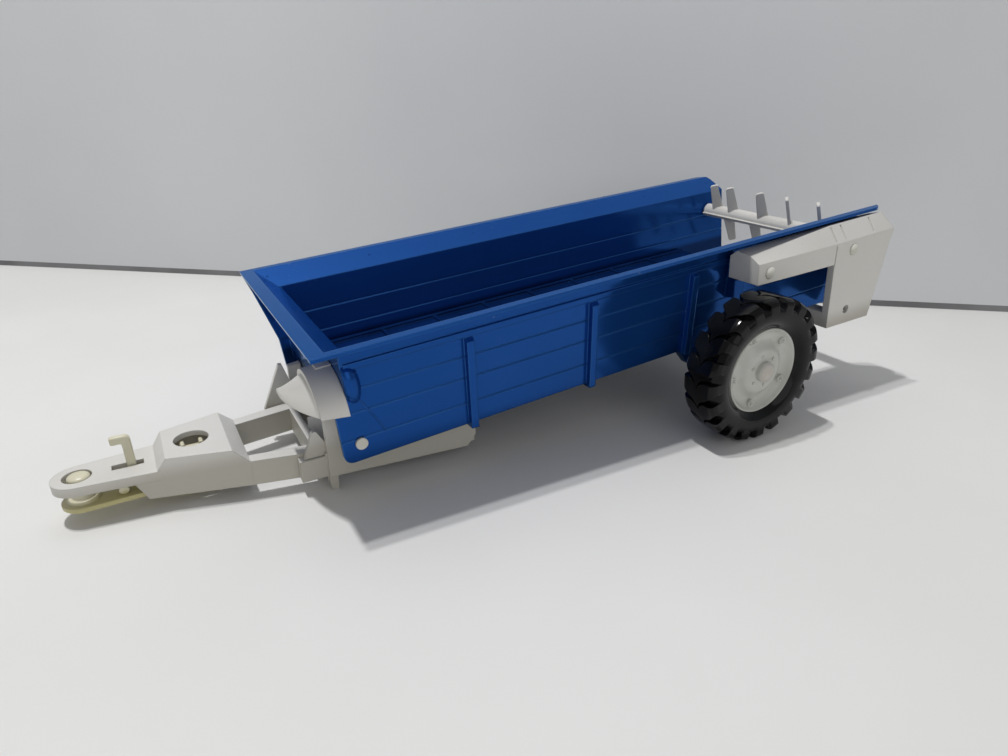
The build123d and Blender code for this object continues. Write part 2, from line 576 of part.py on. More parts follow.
def slope_groove(x, width, depth, edge, ridge):
    """Cutter for a groove running down the housing's slope at x."""
    run, fall = HOUSE_Y - ridge[0], ridge[1] - edge
    length = math.hypot(run, fall)
    ny, nz = fall / length, run / length
    ends = [(ridge[0] + 0.1 * run, ridge[1] - 0.1 * fall),
            (HOUSE_Y - 0.12 * run, edge + 0.12 * fall)]
    outline = [(y + k * ny, z + k * nz) for (y, z), k in
               ((ends[0], 0.8), (ends[1], 0.8), (ends[1], -depth), (ends[0], -depth))]
    return prism_x(outline, x - width / 2, x + width / 2)


def make_drive_housing():
    """Side guard over the beater drive: long beam, rear panel, sloped top, open inside."""
    face, w = HOUSE_Y, HOUSE_WALL
    front, seam = BEAM_X
    (low_front, low_z), (low_rear, rear_z) = PANEL_LOW
    rear, rear_ridge = PANEL_REAR_X
    wall_y = wall_half(BAND_Z[1]) + BAND_PROUD + RUN_GAP
    ridge = (HOUSE_RIDGE_Y, flare_under(RIM_HALF) - HOUSE_UNDER[0])
    middle = (HOUSE_MID_Y, flare_under(HOUSE_MID_Y) - HOUSE_UNDER[1])
    wall = (wall_y, flare_under(wall_y) - HOUSE_UNDER[2])
    edge = BEAM_EDGE_Z[1]

    # sloped top: rising from the front to the seam, then even to the rear
    body = loft([house_section(BEAM_EDGE_Z[0], *BEAM_FRONT, front),
                 house_section(edge, ridge, middle, wall, seam)], ruled=True)
    body += extrude(house_section(edge, ridge, middle, wall, seam), amount=seam - rear,
                    dir=(-1, 0, 0))
    # outer skin
    body += prism_y([(front, BEAM_LOW_Z[0]), (seam, BEAM_LOW_Z[1]), (low_front, low_z),
                     (low_rear, rear_z), (rear, edge), (seam, edge), (front, BEAM_EDGE_Z[0])],
                    face - w, face)
    # front end, rear wall, flange and step of the panel
    body += prism_x([(face - 0.1, BEAM_LOW_Z[0]), (face - 0.1, BEAM_EDGE_Z[0] - 0.1),
                     *[(y, z - 0.1) for y, z in BEAM_FRONT], (BEAM_FRONT[2][0], BEAM_LOW_Z[0])],
                    front, front - w)
    filled = prism_x([(face - 0.1, rear_z), (face - 0.1, edge - 0.1), (ridge[0], ridge[1] - 0.1),
                      (middle[0], middle[1] - 0.1), (wall[0], wall[1] - 0.1), (wall[0], rear_z)],
                     rear, seam)
    body += filled & prism_y([(low_rear, rear_z), (rear, edge), (rear, RIM_Z), (rear + w, RIM_Z),
                              (rear + w, edge), (low_rear + w, rear_z)], 0, face)
    flange = [(seam, BEAM_LOW_Z[1] + 1), (low_front, low_z), (low_front - w, low_z),
              (seam - w, BEAM_LOW_Z[1] + 1)]
    body += prism_y(flange, face - PANEL_FLANGE, face - 0.1)
    length, height, inner_y = SILL
    body += block(low_front, low_front - length, inner_y, face - 0.1, low_z, low_z + height)
    # the upper rear corner is mitred
    slant = rear_ridge - rear
    body -= prism_z([(rear - 1, face + 1), (rear - slant / (face - ridge[0]), face + 1),
                     (rear_ridge, ridge[0]), (rear_ridge, 0), (rear - 1, 0)], edge - 6, RIM_Z)

    for x in (*HOUSE_GROOVE_X, seam):
        body -= slope_groove(x, *HOUSE_GROOVE, edge, ridge)
    body -= block(seam - 0.3, seam + 0.3, face - HOUSE_GROOVE[1], face + 1, BEAM_LOW_Z[1] - 1,
                  edge - 0.5)
    for x, z in HOUSE_PINS:
        body -= rod_y(HOUSE_PIN_R, HOUSE_BOSS_Y, face + 1, x, z)
    hole_x, hole_z, hole_r = HOUSE_HOLE
    body -= rod_y(hole_r, HOUSE_BOSS_Y, face + 1, hole_x, hole_z)
    return solid_of(body)


def make_housing_pin(x, z):
    """Cream pin from the casting's boss to the housing, its domed head a little proud."""
    pin = rod_y(HOUSE_SHANK_R, wall_half(z) + 0.5, HOUSE_Y - 1, x, z)
    pin += rod_y(HOUSE_PIN_R - 0.02, HOUSE_Y - 1.4, HOUSE_Y, x, z)
    dome = Pos(x, HOUSE_Y - 1.6, z) * Sphere(2.9)
    dome &= rod_y(HOUSE_PIN_R - 0.02, HOUSE_Y - 0.5, HOUSE_Y + 3, x, z)
    return solid_of(pin + dome)


# ---------------------------------------------------------------- wheels
def make_tyre(side):
    """Farm tyre at its full tread size: flat crown, round shoulders, bulging sidewalls."""
    half = TYRE_WIDTH / 2
    mid = TYRE_OUT_Y - half
    bead = half - BEAD_IN
    out = [(TYRE_R - drop, reach) for reach, drop in SHOULDER]
    out += [(TYRE_R - drop, half) for drop in BULGE_DROP]
    out += [((TYRE_R - BULGE_DROP[1] + BEAD_R) / 2, half - 0.35 * BEAD_IN), (BEAD_R + 0.9, bead),
            (BEAD_R, bead)]
    outline = [(TYRE_R, mid)] + [(r, mid + y) for r, y in out]
    outline += [(r, mid - y) for r, y in reversed(out)]
    tyre = solid_of(revolve_y(outline))
    return tyre if side > 0 else mirrored(tyre)


def make_hub(side):
    """Dished plastic hub with a raised lip, a cone and a centre boss."""
    face = HUB_FACE_Y
    dish = face - HUB_DISH
    back = TYRE_OUT_Y - TYRE_WIDTH + 1.5
    rim = BEAD_R - 0.02
    inner = rim - RIM_LIP
    profile = [(AXLE_R + SHAFT_GAP, back), (6.0, back), (6.0, dish - 4.0), (inner - 1.0, dish - 4.0),
               (inner - 1.0, back + 0.8), (rim, back + 0.8), (rim, face - 0.4), (rim - 0.5, face),
               (inner + 0.2, face), (inner - 0.5, dish), (9.5, dish), (6.4, face - 0.4),
               (HUB_BOSS_R + 0.3, face - 0.2), (HUB_BOSS_R, face + HUB_BOSS_OUT - 0.4),
               (HUB_BOSS_R - 0.4, face + HUB_BOSS_OUT), (AXLE_R + SHAFT_GAP, face + HUB_BOSS_OUT)]
    hub = revolve_y(profile)
    hub = solid_of(hub)
    return hub if side > 0 else mirrored(hub)


def make_axle():
    """Steel axle through the skirts' lobes and both hubs."""
    axle = rod_y(AXLE_R, -axle_half, axle_half)
    return solid_of(axle)


# ---------------------------------------------------------------- beater
def make_beater():
    """One moulding: shaft with flat fins and twisted paddles above and below."""
    half = wall_half(BEATER_Z - FIN_HALF) - WALL - 0.5
    shaft = rod_y(SHAFT_R, -half, half, BEATER_X, BEATER_Z)
    body = shaft + block(BEATER_X - FIN_HALF, BEATER_X + FIN_HALF, -half, half,
                         BEATER_Z - FIN_THICK / 2, BEATER_Z + FIN_THICK / 2)
    stub = rod_y(STUB_R, -wall_half(BEATER_Z) - 0.6, HOUSE_BOSS_Y, BEATER_X, BEATER_Z)
    body += stub
    for stations, way in ((PADDLES_UP, 1), (PADDLES_DOWN, -1)):
        for y in stations:
            hand = 1 if y > 7 else -1
            body += paddle(y, way, hand * way)
    turned = Pos(BEATER_X, 0, BEATER_Z) * Rot(0, BEATER_REST, 0) * Pos(-BEATER_X, 0, -BEATER_Z) * body
    return solid_of(turned)


def paddle(y, way, hand):
    """One tapered paddle standing up (way 1) or down (-1), twisted about its length."""
    root, tip = SHAFT_R - 1.2, PADDLE_TIP_R
    w0, w1 = PADDLE_WIDTH / 2, PADDLE_TIP_WIDTH / 2
    outline = [(-w0, root), (w0, root), (w1, tip - 0.6), (w1 - 0.6, tip), (-w1 + 0.6, tip),
               (-w1, tip - 0.6)]
    blade = prism_y(outline, -PADDLE_THICK / 2, PADDLE_THICK / 2)
    blade = Rot(0, 0, hand * PADDLE_TWIST) * blade
    if way < 0:
        blade = Rot(180, 0, 0) * blade
    return Pos(BEATER_X, y, BEATER_Z) * blade


# ---------------------------------------------------------------- assembly
parts = {
    "load_box": make_load_box(),
    "drawbar": make_drawbar(),
    "hitch_latch": make_hitch_latch(),
    "drawbar_pin": make_drawbar_pin(),
    "front_shroud": make_front_shroud(),
    "drive_housing": make_drive_housing(),
    "housing_front_pin": make_housing_pin(*HOUSE_PINS[0]),
    "housing_rear_pin": make_housing_pin(*HOUSE_PINS[1]),
    "axle": make_axle(),
    "left_tyre": make_tyre(1),
    "left_hub": make_hub(1),
    "right_tyre": make_tyre(-1),
    "right_hub": make_hub(-1),
    "beater": make_beater(),
}


def rest_pitch():
    """Nose-down angle at which the tyres and the legs' feet share one floor."""
    angles = []
    for foot_x in (LEG_X[0] + 0.5, LEG_X[1] - 0.3):
        dx = foot_x - BAR_REF[0]
        x = BAR_REF[0] + dx * math.cos(bar_slope) + LEG_DROP * math.sin(bar_slope)
        z = BAR_REF[1] + dx * math.sin(bar_slope) - LEG_DROP * math.cos(bar_slope)
        angles.append(math.atan2(z, x) + math.asin(TYRE_R / math.hypot(x, z)))
    return math.degrees(min(angles))


pitch = rest_pitch()
standing = {name: Pos(0, 0, TYRE_R) * Rot(0, pitch, 0) * shape for name, shape in parts.items()}
box = Compound(list(standing.values())).bounding_box()
centre = (-(box.min.X + box.max.X) / 2, -(box.min.Y + box.max.Y) / 2, -box.min.Z)
print(f"rest pitch {pitch:.3f} deg, shift {centre[0]:.3f} {centre[1]:.3f} {centre[2]:.4f}")
print(f"size {box.size.X:.2f} {box.size.Y:.2f} {box.size.Z:.2f}")

os.makedirs("parts", exist_ok=True)
for name, shape in standing.items():
    export_step(Pos(*centre) * shape, f"parts/{name}.step")
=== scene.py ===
import json
import math

import bmesh
import bpy
import numpy as np
from mathutils import Matrix, Vector


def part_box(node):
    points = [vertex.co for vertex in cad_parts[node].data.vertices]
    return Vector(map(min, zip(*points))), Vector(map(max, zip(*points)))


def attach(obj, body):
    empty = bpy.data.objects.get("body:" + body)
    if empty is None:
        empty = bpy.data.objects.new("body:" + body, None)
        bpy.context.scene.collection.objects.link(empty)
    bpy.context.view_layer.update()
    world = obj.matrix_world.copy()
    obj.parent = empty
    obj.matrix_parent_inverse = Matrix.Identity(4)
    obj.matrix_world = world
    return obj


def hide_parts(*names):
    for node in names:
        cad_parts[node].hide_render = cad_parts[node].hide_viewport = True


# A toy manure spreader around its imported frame.  Shapes are drawn in millimetres in the toy's
# own level frame (axle at the origin, +X to the hitch, +Y to the left, +Z up), and at() turns
# them into the row frame in metres.  The camera, the lamps, the stage and the distances that
# the materials use are in metres.

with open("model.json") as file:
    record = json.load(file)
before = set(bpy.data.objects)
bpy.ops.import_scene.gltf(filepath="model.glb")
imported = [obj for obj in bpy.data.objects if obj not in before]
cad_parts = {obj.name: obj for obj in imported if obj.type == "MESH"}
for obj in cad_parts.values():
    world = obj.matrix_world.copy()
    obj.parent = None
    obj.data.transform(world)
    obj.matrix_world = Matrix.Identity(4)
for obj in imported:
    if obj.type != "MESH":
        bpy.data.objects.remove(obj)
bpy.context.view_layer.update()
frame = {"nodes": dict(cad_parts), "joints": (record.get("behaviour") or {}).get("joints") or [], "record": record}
MM = 0.001

JOINTS = {joint["name"]: joint for joint in frame["joints"]}
AXLE = Vector(JOINTS["left_wheel_spin"]["pos_m"])
PITCH = math.radians(4.833)     # nose-down stance on the two parking legs
STANCE = Matrix.Translation(AXLE) @ Matrix.Rotation(PITCH, 4, "Y") @ Matrix.Scale(MM, 4)


def at(x, y, z):
    """A point of the level frame, in millimetres, as a point of the row frame, in metres."""
    return STANCE @ Vector((x, y, z))


# ---------------------------------------------------------------- camera and light
CAMERA_AT = (0.116967, 0.21053, 0.12241)
CAMERA_LOOKS_AT = (0.015487, 0.03112, 0.03000)
CAMERA_CLIP = (0.005, 20)
LENS_MM = 24.02
SENSOR_MM = 36.0
SKY_COLOUR = (0.97, 0.98, 1.0, 1)
SKY_STRENGTH = 0.30
LAMP_X, LAMP_Z = 0.202, 0.965   # a pair of small lamps high above the hitch, side by side
LAMP_Y = {"lamp_near": -0.030, "lamp_far": -0.095}
LAMP_LOOKS_AT = (0, 0, 0.02)
LAMP_SIZE, LAMP_WATTS = 0.03, 2.95
FILL_AT, FILL_LOOKS_AT = (0.1, 1.4, 0.6), (-0.02, 0, 0.03)
FILL_SIZE, FILL_WATTS = 1.2, 3.3


def look(location, target):
    """World matrix of a camera or lamp at location that points at target, with no roll."""
    direction = Vector(target) - Vector(location)
    rotation = direction.to_track_quat("-Z", "Y").to_matrix().to_4x4()
    return Matrix.Translation(Vector(location)) @ rotation


def make_camera():
    """The scene's camera, above the toy's left side and ahead of its middle."""
    data = bpy.data.cameras.new("camera")
    data.lens = LENS_MM
    data.sensor_width = SENSOR_MM
    data.clip_start, data.clip_end = CAMERA_CLIP
    camera = bpy.data.objects.new("camera", data)
    camera.matrix_world = look(CAMERA_AT, CAMERA_LOOKS_AT)
    bpy.context.scene.collection.objects.link(camera)
    bpy.context.scene.camera = camera


def make_lamp(name, location, target, size, watts):
    """A square white area lamp."""
    data = bpy.data.lights.new(name, "AREA")
    data.shape = "SQUARE"
    data.size = size
    data.energy = watts
    lamp = bpy.data.objects.new(name, data)
    lamp.matrix_world = look(location, target)
    bpy.context.scene.collection.objects.link(lamp)


def make_world():
    """Even, faintly blue light from all sides."""
    world = bpy.data.worlds.new("studio")
    bpy.context.scene.world = world
    world.use_nodes = True
    shade = world.node_tree.nodes["Background"]
    shade.inputs["Color"].default_value = SKY_COLOUR
    shade.inputs["Strength"].default_value = SKY_STRENGTH


# ---------------------------------------------------------------- meshes
def mesh_object(name, vertices, faces, smooth_angle=None):
    """A mesh object from points in the row frame, in metres, smooth up to an angle."""
    mesh = bpy.data.meshes.new(name)
    mesh.from_pydata([tuple(v) for v in vertices], [], [tuple(f) for f in faces])
    mesh.update()
    if smooth_angle is not None:
        mesh.shade_smooth()
        mesh.set_sharp_from_angle(angle=math.radians(smooth_angle))
    item = bpy.data.objects.new(name, mesh)
    bpy.context.scene.collection.objects.link(item)
    return item


def closed_object(name, vertices, faces, smooth_angle):
    """A mesh object from a closed surface, with all its faces turned outwards."""
    item = mesh_object(name, vertices, faces, smooth_angle)
    mesh = bmesh.new()
    mesh.from_mesh(item.data)
    bmesh.ops.recalc_face_normals(mesh, faces=mesh.faces)
    mesh.to_mesh(item.data)
    mesh.free()
    return item


def ring_faces(rows, columns, closed=False):
    """Quads between rings of points; the first and last ring join, or each gets a cap."""
    faces = []
    for i in range(rows if closed else rows - 1):
        a, b = i * columns, (i + 1) % rows * columns
        for j in range(columns):
            k = (j + 1) % columns
            faces.append((a + j, a + k, b + k, b + j))
    if not closed:
        faces.append(tuple(range(columns))[::-1])
        faces.append(tuple((rows - 1) * columns + j for j in range(columns)))
    return faces


def arc(cx, cy, r, start, stop, steps):
    """Points of an arc, angles in degrees."""
    turns = [math.radians(start + (stop - start) * i / steps) for i in range(steps + 1)]
    return [(cx + r * math.cos(t), cy + r * math.sin(t)) for t in turns]


def ring_angles(steps):
    """Angles of a full turn, in radians."""
    return [math.tau * j / steps for j in range(steps)]


class Parts:
    """Vertices and faces of a piece that is put together from several closed shapes."""

    def __init__(self):
        self.points, self.faces = [], []

    def add(self, points, faces):
        """Add a shape whose faces count its own points from 0."""
        base = len(self.points)
        self.points += [tuple(p) for p in points]
        self.faces += [tuple(base + i for i in face) for face in faces]

    def turned(self, profile, x, z, steps, closed=False):
        """Turn (radius, y) points about the line along Y through x, z."""
        self.add([(x + r * math.cos(t), y, z + r * math.sin(t))
                  for r, y in profile for t in ring_angles(steps)],
                 ring_faces(len(profile), steps, closed))

    def turned_up(self, profile, x, y, steps):
        """Turn (radius, height) points about the upright line through x, y."""
        self.add([(x + r * math.cos(t), y + r * math.sin(t), w)
                  for r, w in profile for t in ring_angles(steps)],
                 ring_faces(len(profile), steps))


# ---------------------------------------------------------------- materials
LEVEL_UP = Vector((math.sin(PITCH), 0, math.cos(PITCH)))
FLOOR_SHADE_Z = (0.0160, 0.0132, 0.0, 0.92)     # painted shade on the load floor, up to this height
FLOOR_SHADE_Y = (0.0350, 0.0340)                # and between the box's walls
UPRIGHT_LIGHT_SHADE_Z = (0.000, 0.008)     # painted shade on the drawbar's low upright faces, painted light on the housing's high ones
LATCH_SHADE_Z = (-0.0010, -0.0030)               # painted shade: the latch's low plate is darker and yellower, its lever pale
UPRIGHT_FADE = (0.25, 0.6)      # the normal's upward share, from an upright face to a slope
EDGE_TURN = (0.996, 0.90)       # cosine between the rounded and the true normal
BEVEL_SAMPLES = 6


class Shader:
    """A material's node tree with short helpers, which take and return sockets."""

    def __init__(self, name, colour, roughness, specular=0.5):
        self.material = bpy.data.materials.new(name)
        self.material.use_nodes = True
        self.tree = self.material.node_tree
        self.surface = self.tree.nodes["Principled BSDF"]
        self.surface.inputs["Base Color"].default_value = (*colour, 1)
        self.surface.inputs["Roughness"].default_value = roughness
        self.surface.inputs["Specular IOR Level"].default_value = specular
        self.place = self.node("ShaderNodeTexCoord").outputs["Object"]

    def node(self, kind, **settings):
        """A new node with its settings."""
        item = self.tree.nodes.new(kind)
        for key, value in settings.items():
            setattr(item, key, value)
        return item

    def link(self, source, target):
        """Join an output to an input."""
        self.tree.links.new(source, target)

    def scaled(self, scale):
        """Object coordinates times a scale on each axis."""
        mapping = self.node("ShaderNodeMapping")
        mapping.inputs["Scale"].default_value = scale
        self.link(self.place, mapping.inputs["Vector"])
        return mapping.outputs["Vector"]

    def noise(self, per_metre, detail=3.0, roughness=0.5, vector=None):
        """Noise from about 0.3 to 0.7, with so many lumps a metre."""
        item = self.node("ShaderNodeTexNoise")
        item.inputs["Scale"].default_value = per_metre
        item.inputs["Detail"].default_value = detail
        item.inputs["Roughness"].default_value = roughness
        self.link(vector or self.place, item.inputs["Vector"])
        return item.outputs["Fac"]

    def ramp(self, value, low, high, out_low=0.0, out_high=1.0):
        """Smooth step of a value from low to high, onto out_low to out_high."""
        item = self.node("ShaderNodeMapRange", interpolation_type="SMOOTHSTEP")
        self.link(value, item.inputs["Value"])
        for key, number in (("From Min", low), ("From Max", high),
                            ("To Min", out_low), ("To Max", out_high)):
            item.inputs[key].default_value = number
        return item.outputs["Result"]

    def mix(self, factor, a, b):
        """Colour mix; a and b are sockets or colours."""
        item = self.node("ShaderNodeMix", data_type="RGBA")
        self.link(factor, item.inputs["Factor"])
        for key, value in (("A", a), ("B", b)):
            socket = [s for s in item.inputs if s.name == key and s.type == "RGBA"][0]
            if isinstance(value, tuple):
                socket.default_value = (*value, 1)
            else:
                self.link(value, socket)
        return [s for s in item.outputs if s.type == "RGBA"][0]

    def normal(self):
        """The surface's true normal."""
        return self.node("ShaderNodeNewGeometry").outputs["Normal"]

    def rounded_normal(self, radius_mm):
        """The normal as if edges were rounded to a radius."""
        item = self.node("ShaderNodeBevel", samples=BEVEL_SAMPLES)
        item.inputs["Radius"].default_value = radius_mm * MM
        return item.outputs["Normal"]

    def size_along(self, vector, axis):
        """The absolute value of a vector's X, Y or Z."""
        split = self.node("ShaderNodeSeparateXYZ")
        self.link(vector, split.inputs["Vector"])
        item = self.node("ShaderNodeMath", operation="ABSOLUTE")
        self.link(split.outputs[axis], item.inputs[0])
        return item.outputs[0]

    def level_z(self):
        """Height in the toy's own level frame, in metres above the axle."""
        item = self.node("ShaderNodeVectorMath", operation="DOT_PRODUCT")
        item.inputs[1].default_value = LEVEL_UP
        self.link(self.place, item.inputs[0])
        lower = self.node("ShaderNodeMath", operation="SUBTRACT")
        lower.inputs[1].default_value = AXLE.dot(LEVEL_UP)
        self.link(item.outputs["Value"], lower.inputs[0])
        return lower.outputs[0]

    def side_y(self):
        """Distance from the toy's middle plane, in metres."""
        return self.size_along(self.place, "Y")

    def upright(self):
        """1 on an upright face, falling to 0 on a face that looks up or down."""
        return self.ramp(self.size_along(self.normal(), "Z"), *UPRIGHT_FADE, 1.0, 0.0)

    def edge(self, radius_mm):
        """1 on edges within about radius_mm, 0 on flat ground."""
        turn = self.node("ShaderNodeVectorMath", operation="DOT_PRODUCT")
        self.link(self.rounded_normal(radius_mm), turn.inputs[0])
        self.link(self.normal(), turn.inputs[1])
        return self.ramp(turn.outputs["Value"], *EDGE_TURN)

    def times(self, a, b):
        """Product of two sockets, or of a socket and a number."""
        item = self.node("ShaderNodeMath", operation="MULTIPLY")
        for socket, value in zip(item.inputs, (a, b)):
            if isinstance(value, (int, float)):
                socket.default_value = value
            else:
                self.link(value, socket)
        return item.outputs[0]

    def colour(self, source):
        """Use a socket as the base colour."""
        self.link(source, self.surface.inputs["Base Color"])

    def rough(self, source):
        """Use a socket as the roughness."""
        self.link(source, self.surface.inputs["Roughness"])

    def bump(self, height, distance_mm, strength=1.0, radius_mm=0.0):
        """Bump from a height socket; radius_mm also rounds the sharp edges' shading."""
        item = self.node("ShaderNodeBump")
        item.inputs["Strength"].default_value = strength
        item.inputs["Distance"].default_value = distance_mm * MM
        self.link(height, item.inputs["Height"])
        if radius_mm:
            self.link(self.rounded_normal(radius_mm), item.inputs["Normal"])
        self.link(item.outputs["Normal"], self.surface.inputs["Normal"])


def blue_enamel():
    """Royal-blue enamel over bright metal: orange peel, dust, a painted highlight on the edges and painted shade
    on the load floor.
    """
    s = Shader("blue_enamel", (0.011, 0.075, 0.32), 0.14, 0.2)
    s.surface.inputs["Specular Tint"].default_value = (0.45, 0.75, 1.0, 1.0)
    s.surface.inputs["Metallic"].default_value = 0.55
    broad = s.ramp(s.noise(9, 2), 0.35, 0.65)
    tone = s.mix(broad, (0.010, 0.071, 0.30), (0.013, 0.081, 0.335))
    dust = s.ramp(s.noise(900, 2, 0.6), 0.66, 0.74)
    patch = s.ramp(s.noise(28, 3), 0.5, 0.72)
    tone = s.mix(s.times(s.times(dust, patch), 0.35), tone, (0.30, 0.38, 0.50))
    # painted highlight: edges are painted a paler blue, standing for glossy reflections on rounded edges
    tone = s.mix(s.times(s.edge(0.7), 0.35), tone, (0.06, 0.20, 0.47))
    # painted shade: the load floor between the walls is painted dark navy, and the grime noise only makes this
    # painted shade uneven
    inside = s.times(s.ramp(s.level_z(), *FLOOR_SHADE_Z), s.ramp(s.side_y(), *FLOOR_SHADE_Y))
    grime = s.ramp(s.noise(45, 4), 0.25, 0.75, 0.82, 1.0)
    s.colour(s.mix(s.times(inside, grime), tone, (0.003, 0.014, 0.07)))
    s.rough(s.ramp(s.noise(60, 4), 0.3, 0.8, 0.12, 0.18))
    s.bump(s.noise(420, 3, 0.55), 0.03, 0.5, 0.6)
    return s.material


def grey_plastic():
    """Warm light-grey satin plastic with faint mottling and specks; upright faces get painted shade low down and
    painted light high up.
    """
    s = Shader("grey_plastic", (0.61, 0.60, 0.565), 0.42)
    mottle = s.ramp(s.noise(30, 4), 0.3, 0.7)
    tone = s.mix(mottle, (0.59, 0.575, 0.535), (0.635, 0.62, 0.59))
    speck = s.ramp(s.noise(700, 2, 0.6), 0.68, 0.76)
    # painted light and shade: upright faces low on the toy are painted darker, high ones paler
    side_light_and_shade = s.mix(s.ramp(s.level_z(), *UPRIGHT_LIGHT_SHADE_Z), (0.465, 0.445, 0.385), (0.70, 0.685, 0.64))
    tone = s.mix(s.upright(), tone, side_light_and_shade)
    s.colour(s.mix(s.times(speck, 0.3), tone, (0.36, 0.33, 0.27)))
    s.rough(s.ramp(s.noise(80, 3), 0.3, 0.7, 0.36, 0.5))
    s.bump(s.noise(650, 3, 0.6), 0.03, 0.6, 0.45)
    return s.material


def cream_plastic():
    """Plastic yellowed to a greenish cream, with painted shade low down that is darker and yellower, as light
    through the plastic tints it.
    """
    s = Shader("cream_plastic", (0.62, 0.58, 0.40), 0.35)
    age = s.ramp(s.noise(70, 3), 0.3, 0.7)
    tone = s.mix(age, (0.585, 0.55, 0.40), (0.65, 0.625, 0.48))
    # painted shade: low down the plastic is painted darker and yellower, standing for shade and light passing
    # through it
    low = s.ramp(s.level_z(), *LATCH_SHADE_Z)
    s.colour(s.mix(low, tone, (0.50, 0.455, 0.22)))
    s.surface.inputs["Subsurface Weight"].default_value = 0.15
    s.surface.inputs["Subsurface Radius"].default_value = (0.002, 0.002, 0.001)
    s.surface.inputs["Subsurface Scale"].default_value = 0.5
    s.bump(s.noise(500, 3), 0.03, 0.5, 0.25)
    return s.material


def pale_plastic():
    """Nearly white plastic of the pins, with a little grime."""
    s = Shader("pale_plastic", (0.66, 0.655, 0.59), 0.32)
    age = s.ramp(s.noise(160, 3), 0.35, 0.7)
    s.colour(s.mix(age, (0.62, 0.61, 0.53), (0.69, 0.685, 0.64)))
    s.bump(s.noise(500, 3), 0.03, 0.5, 0.2)
    return s.material


def hub_plastic():
    """Semi-gloss pale grey-green plastic of the hubs, with stains in the dish."""
    s = Shader("hub_plastic", (0.55, 0.55, 0.51), 0.22)
    stain = s.ramp(s.noise(90, 4), 0.35, 0.7)
    tone = s.mix(stain, (0.51, 0.51, 0.465), (0.58, 0.58, 0.545))
    rust = s.times(s.ramp(s.noise(260, 4, 0.65), 0.62, 0.75), 0.45)
    s.colour(s.mix(rust, tone, (0.30, 0.26, 0.18)))
    s.rough(s.ramp(s.noise(120, 3), 0.3, 0.7, 0.06, 0.14))
    s.bump(s.noise(300, 2), 0.04, 0.5, 0.2)
    return s.material


def cap_plastic():
    """Pinkish beige plug in the middle of a hub."""
    s = Shader("cap_plastic", (0.54, 0.51, 0.46), 0.4)
    wear = s.ramp(s.noise(220, 3), 0.35, 0.7)
    s.colour(s.mix(wear, (0.50, 0.455, 0.39), (0.56, 0.54, 0.50)))
    s.bump(s.noise(600, 3), 0.03, 0.5)
    return s.material


def black_vinyl():
    """Glossy black vinyl of the tyres with a bluish bloom."""
    s = Shader("black_vinyl", (0.003, 0.003, 0.0035), 0.2, 0.22)
    bloom = s.ramp(s.noise(60, 4), 0.45, 0.75)
    s.colour(s.mix(bloom, (0.0025, 0.0025, 0.003), (0.008, 0.009, 0.0105)))
    s.rough(s.ramp(s.noise(140, 4), 0.3, 0.7, 0.08, 0.16))
    s.bump(s.noise(500, 3), 0.05, 0.4, 0.2)
    return s.material


def steel():
    """Plain drawn steel with a light tarnish."""
    s = Shader("steel", (0.45, 0.43, 0.40), 0.4)
    s.surface.inputs["Metallic"].default_value = 1.0
    tarnish = s.ramp(s.noise(200, 4), 0.4, 0.7)
    s.colour(s.mix(tarnish, (0.50, 0.48, 0.45), (0.26, 0.23, 0.20)))
    s.bump(s.noise(1500, 2, 0.5, s.scaled((1, 12, 1))), 0.02, 0.4)
    return s.material


def floor_cloth():
    """Pale cloth, nearly white, with a soft unevenness."""
    s = Shader("floor_cloth", (0.72, 0.715, 0.70), 0.9, 0.1)
    uneven = s.ramp(s.noise(6, 4), 0.3, 0.7)
    s.colour(s.mix(uneven, (0.70, 0.695, 0.68), (0.74, 0.735, 0.722)))
    s.bump(s.noise(900, 3), 0.08, 0.4)
    return s.material


def see_through_behind(s):
    """Let a backdrop be looked through from its back, so that it never hides the toy."""
    clear = s.node("ShaderNodeBsdfTransparent")
    blend = s.node("ShaderNodeMixShader")
    s.link(s.node("ShaderNodeNewGeometry").outputs["Backfacing"], blend.inputs[0])
    s.link(s.surface.outputs[0], blend.inputs[1])
    s.link(clear.outputs[0], blend.inputs[2])
    s.link(blend.outputs[0], s.tree.nodes["Material Output"].inputs["Surface"])
    return s.material


def wall_paint():
    """Plain pale grey of the backdrop."""
    s = Shader("wall_paint", (0.66, 0.67, 0.68), 0.9, 0.1)
    uneven = s.ramp(s.noise(5, 3), 0.3, 0.7)
    s.colour(s.mix(uneven, (0.64, 0.65, 0.665), (0.68, 0.69, 0.70)))
    s.bump(s.noise(500, 3), 0.1, 0.3)
    return see_through_behind(s)


def wall_gap():
    """Shade under the backdrop's lower edge."""
    s = Shader("wall_gap", (0.20, 0.20, 0.205), 0.9, 0.1)
    s.colour(s.mix(s.ramp(s.noise(20, 3), 0.3, 0.7), (0.17, 0.17, 0.175), (0.24, 0.24, 0.245)))
    return see_through_behind(s)


MATERIALS = {
    "blue_enamel": blue_enamel(),
    "grey_plastic": grey_plastic(),
    "cream_plastic": cream_plastic(),
    "hub_plastic": hub_plastic(),
    "black_vinyl": black_vinyl(),
    "steel": steel(),
    "hub_cap": cap_plastic(),
}
PALE_NODES = ("drawbar_pin", "housing_front_pin", "housing_rear_pin")


def finish(piece, slot, body, stands_for=(), material=None):
    """Give a piece the material of its slot, or the one given, put it on its body and hide the CAD nodes that it
    stands for.
    """
    piece.data.materials.clear()
    piece.data.materials.append(material or MATERIALS[slot])
    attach(piece, body)
    if stands_for:
        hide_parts(*stands_for)


def paint_frame():
    """Give every CAD node its material."""
    pale = pale_plastic()
    for part in frame["record"]["subparts"]:
        item = frame["nodes"][part["node"]]
        item.data.materials.clear()
        own = pale if part["node"] in PALE_NODES else MATERIALS[part["material_slot"]]
        item.data.materials.append(own)


